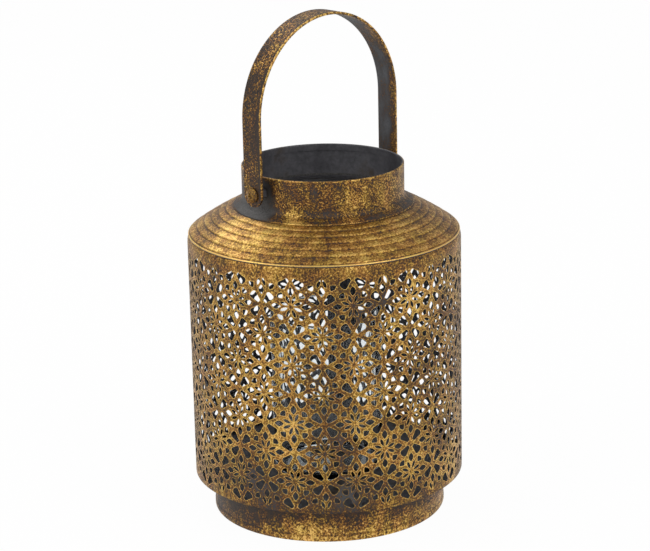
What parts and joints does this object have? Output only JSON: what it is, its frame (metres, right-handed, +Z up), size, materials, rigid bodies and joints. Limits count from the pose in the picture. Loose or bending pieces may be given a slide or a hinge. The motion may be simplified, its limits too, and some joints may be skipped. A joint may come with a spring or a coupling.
{
  "type": "punched tin lantern",
  "caption": "Cylindrical punched metal lantern with a stepped shoulder, open neck, swinging strap handle and a loose candle glass inside.",
  "frame": {"origin": "centre of the foot, on the surface that the lantern stands on", "axes": "+Z up along the lantern's axis, +X along the line through the handle's two pivots"},
  "size_m": [0.1999, 0.1999, 0.3704],
  "materials": {
    "antique_gold": "dry-brushed antique gold over dark tin",
    "dark_tin": "dark slate tin",
    "screw": "bronzed steel",
    "clear_glass": "clear glass"
  },
  "bodies": {
    "lantern": {"pierced_body": "antique_gold", "floor_plate": "dark_tin", "base_ring": "antique_gold", "shoulder": "antique_gold", "neck_collar": "antique_gold", "pivot_screw_right": "screw", "pivot_screw_left": "screw", "pivot_nut_right": "screw", "pivot_nut_left": "screw"},
    "handle": {"handle_strap": "antique_gold"},
    "glass": {"glass_cylinder": "clear_glass"}
  },
  "joints": [
    {"name": "handle_swing", "type": "hinge", "parent": "lantern", "child": "handle", "pos_m": [0, 0, 0.249], "axis": [1, 0, 0], "range_deg": [-108, 108]},
    {"name": "glass_lift", "type": "slide", "parent": "lantern", "child": "glass", "axis": [0, 0, 1], "range_m": [0, 0.19]}
  ]
}
